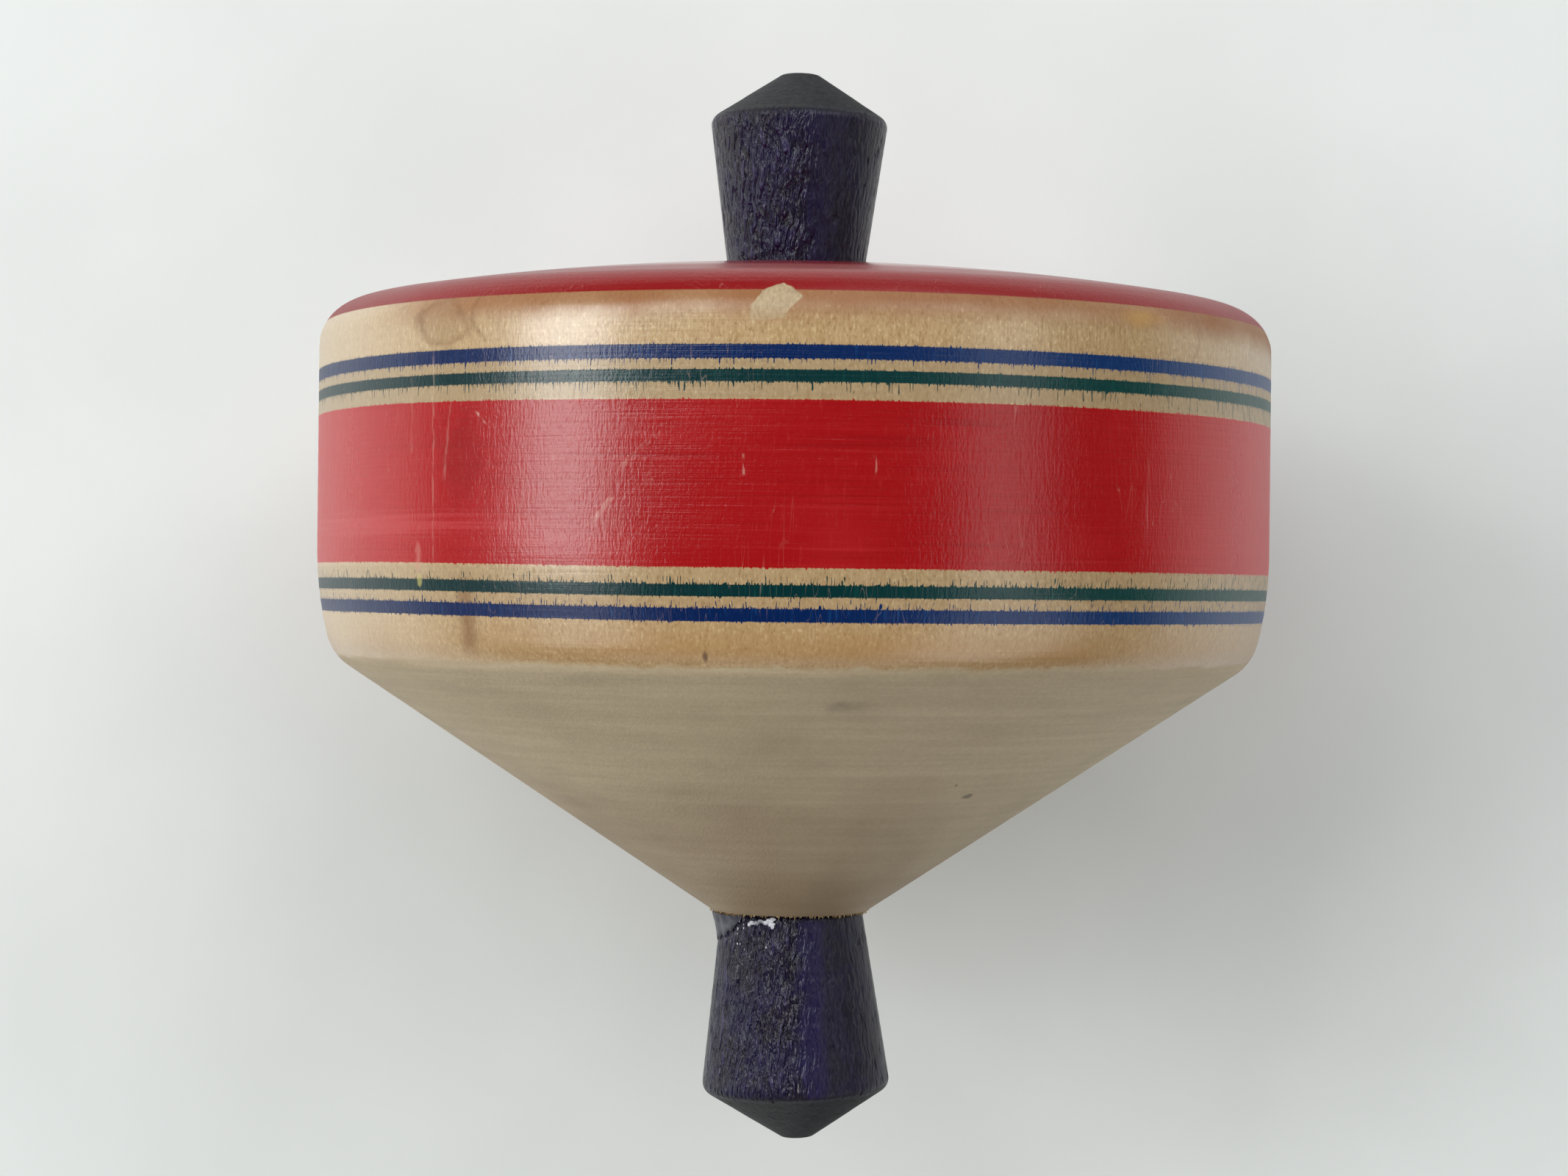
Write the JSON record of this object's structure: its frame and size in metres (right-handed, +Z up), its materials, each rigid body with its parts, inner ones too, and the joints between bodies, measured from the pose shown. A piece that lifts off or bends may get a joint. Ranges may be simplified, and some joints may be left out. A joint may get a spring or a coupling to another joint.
{
  "type": "spinning top",
  "caption": "Turned wooden spinning top with a domed drum, a cone below it, a flared handle and a flared foot, painted in rings.",
  "frame": {"origin": "on the table, under the middle of the top's length; the top lies on the side of its drum, as it does at rest", "axes": "+Y along the body's axis, from the foot to the handle; +Z up from the table; +X to the side that both spindles lean to"},
  "size_m": [0.0908, 0.1024, 0.0909],
  "materials": {
    "painted_wood": "pale wood, varnished above and bare on the cone, with painted rings",
    "stained_wood": "dark purple stain, satin"
  },
  "bodies": {
    "root": {"body": "painted_wood", "upper_spindle": "stained_wood", "lower_spindle": "stained_wood"}
  },
  "joints": []
}
